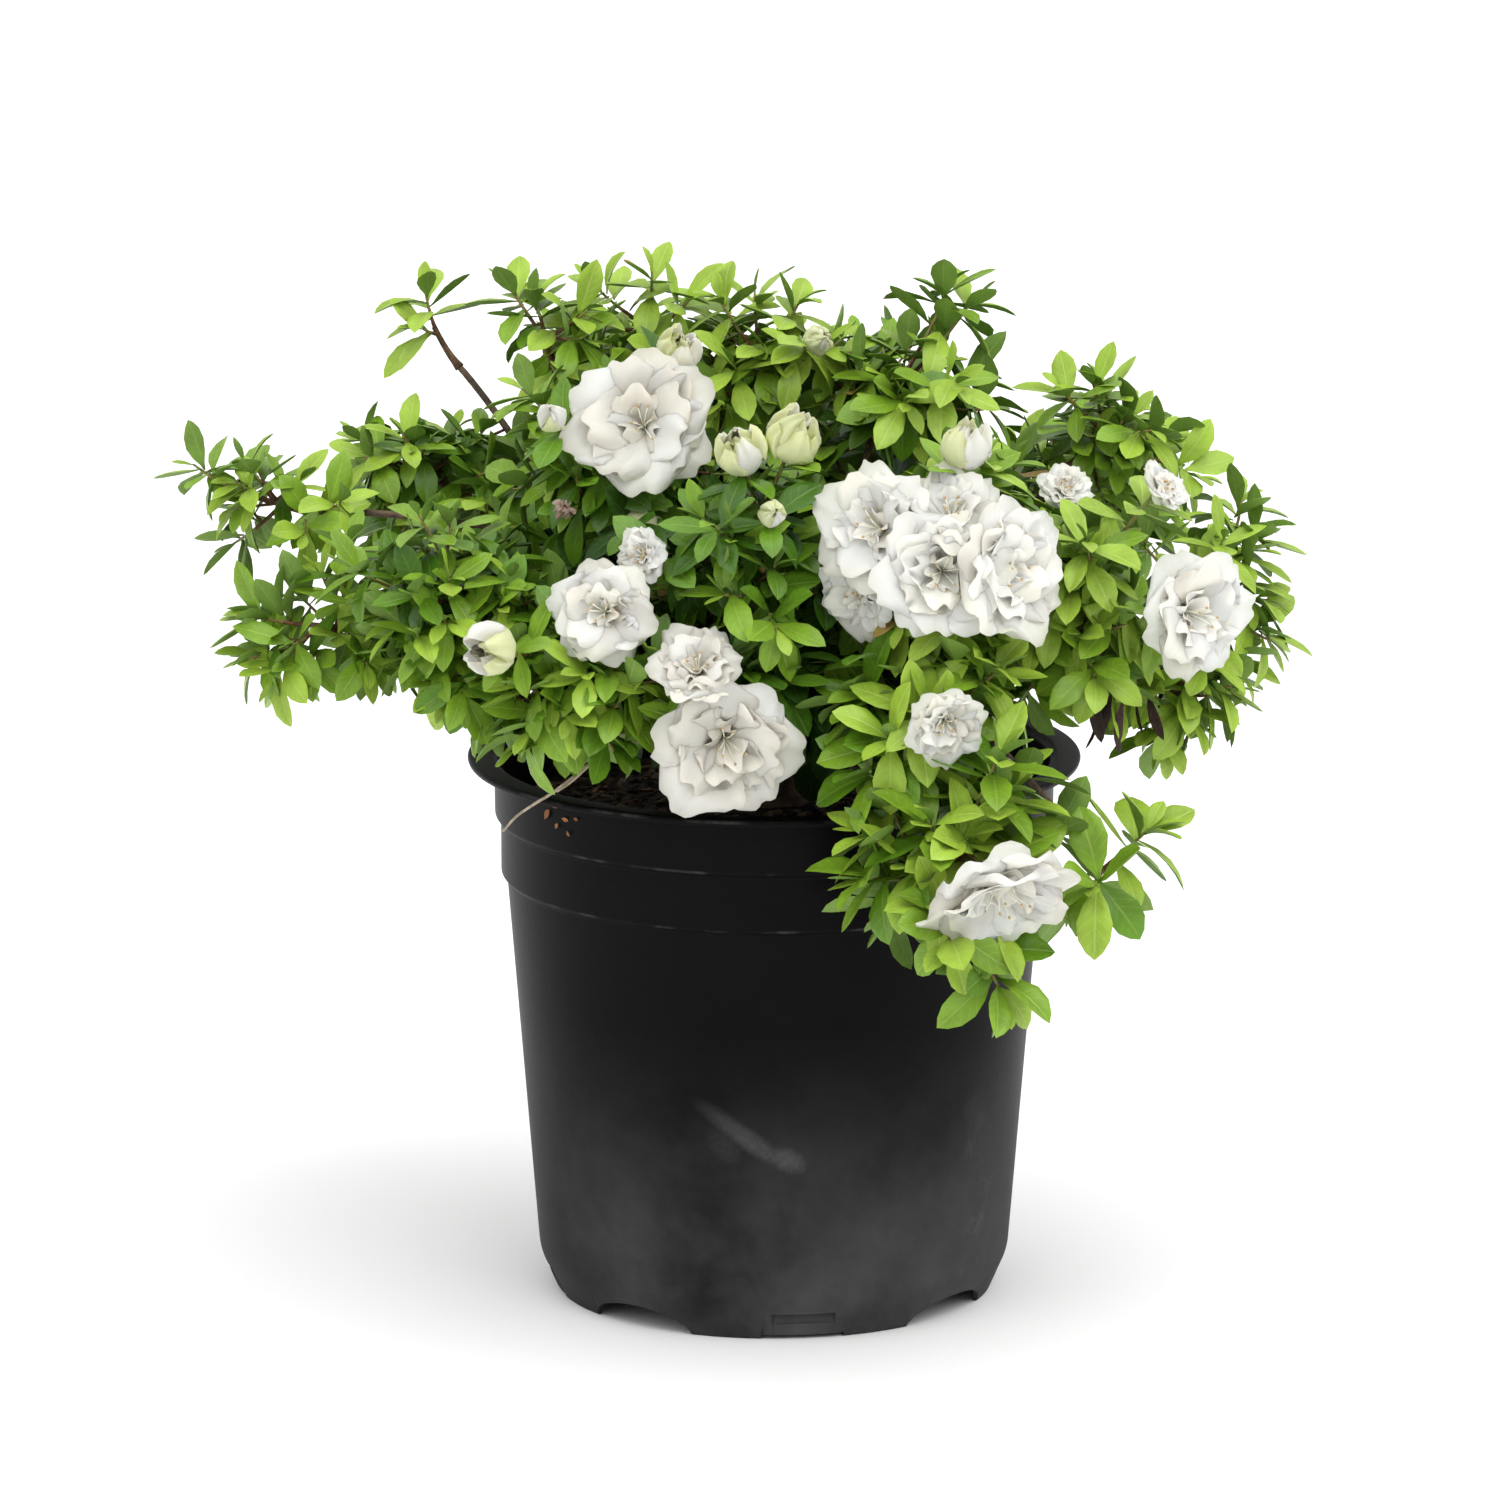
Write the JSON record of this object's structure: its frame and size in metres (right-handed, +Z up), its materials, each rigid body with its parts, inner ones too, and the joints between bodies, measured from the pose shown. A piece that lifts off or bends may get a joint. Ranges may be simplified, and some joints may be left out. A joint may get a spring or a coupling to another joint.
{
  "type": "potted azalea shrub",
  "caption": "Low spreading evergreen azalea with ruffled white double blossom, in a black plastic nursery pot, with one spray hanging over the rim.",
  "frame": {"origin": "centre of the pot's flat underside, on the surface that it stands on", "axes": "+Z up along the pot's axis, -Y towards the front that the picture shows, +X to the right seen from the front"},
  "size_m": [0.5175, 0.4665, 0.4871],
  "materials": {
    "pot_plastic": "satin black with dust and scuffs",
    "potting_mix": "rough crumbly",
    "bark": "rough",
    "leaf": "semi-gloss",
    "blossom": "matte petal"
  },
  "bodies": {
    "root": {"pot": "pot_plastic", "potting_mix": "potting_mix", "trunk": "bark", "bough_left_reach": "bark", "bough_left_low": "bark", "bough_left_shoulder": "bark", "bough_left_upper_sprig": "bark", "bough_top_left": "bark", "bough_left_front": "bark", "bough_left_skirt": "bark", "bough_upper_front_left": "bark", "bough_top_centre": "bark", "bough_top_right_centre": "bark", "bough_heart_front": "bark", "bough_front_blossom": "bark", "bough_blossom_front": "bark", "bough_upper_right": "bark", "bough_right_shoulder": "bark", "bough_right_front": "bark", "bough_right_reach": "bark", "bough_right_low": "bark", "bough_front_skirt": "bark", "bough_hanging_spray": "bark", "bough_hanging_tip": "bark", "bough_back_left": "bark", "bough_back_crown_left": "bark", "bough_back_left_low": "bark", "bough_back_centre": "bark", "bough_back_crown": "bark", "bough_back_right_low": "bark", "bough_back_right": "bark", "foliage_left_reach": "leaf", "foliage_left_low": "leaf", "foliage_left_shoulder": "leaf", "foliage_left_upper_sprig": "leaf", "foliage_top_left": "leaf", "foliage_left_front": "leaf", "foliage_left_skirt": "leaf", "foliage_upper_front_left": "leaf", "foliage_top_centre": "leaf", "foliage_top_right_centre": "leaf", "foliage_heart_front": "leaf", "foliage_front_blossom": "blossom", "foliage_blossom_front": "leaf", "foliage_upper_right": "leaf", "foliage_right_shoulder": "leaf", "foliage_right_front": "leaf", "foliage_right_reach": "leaf", "foliage_right_low": "leaf", "foliage_front_skirt": "leaf", "foliage_hanging_spray": "leaf", "foliage_hanging_tip": "leaf", "foliage_back_left": "leaf", "foliage_back_crown_left": "leaf", "foliage_back_left_low": "leaf", "foliage_back_centre": "leaf", "foliage_back_crown": "leaf", "foliage_back_right_low": "leaf", "foliage_back_right": "leaf"}
  },
  "joints": []
}
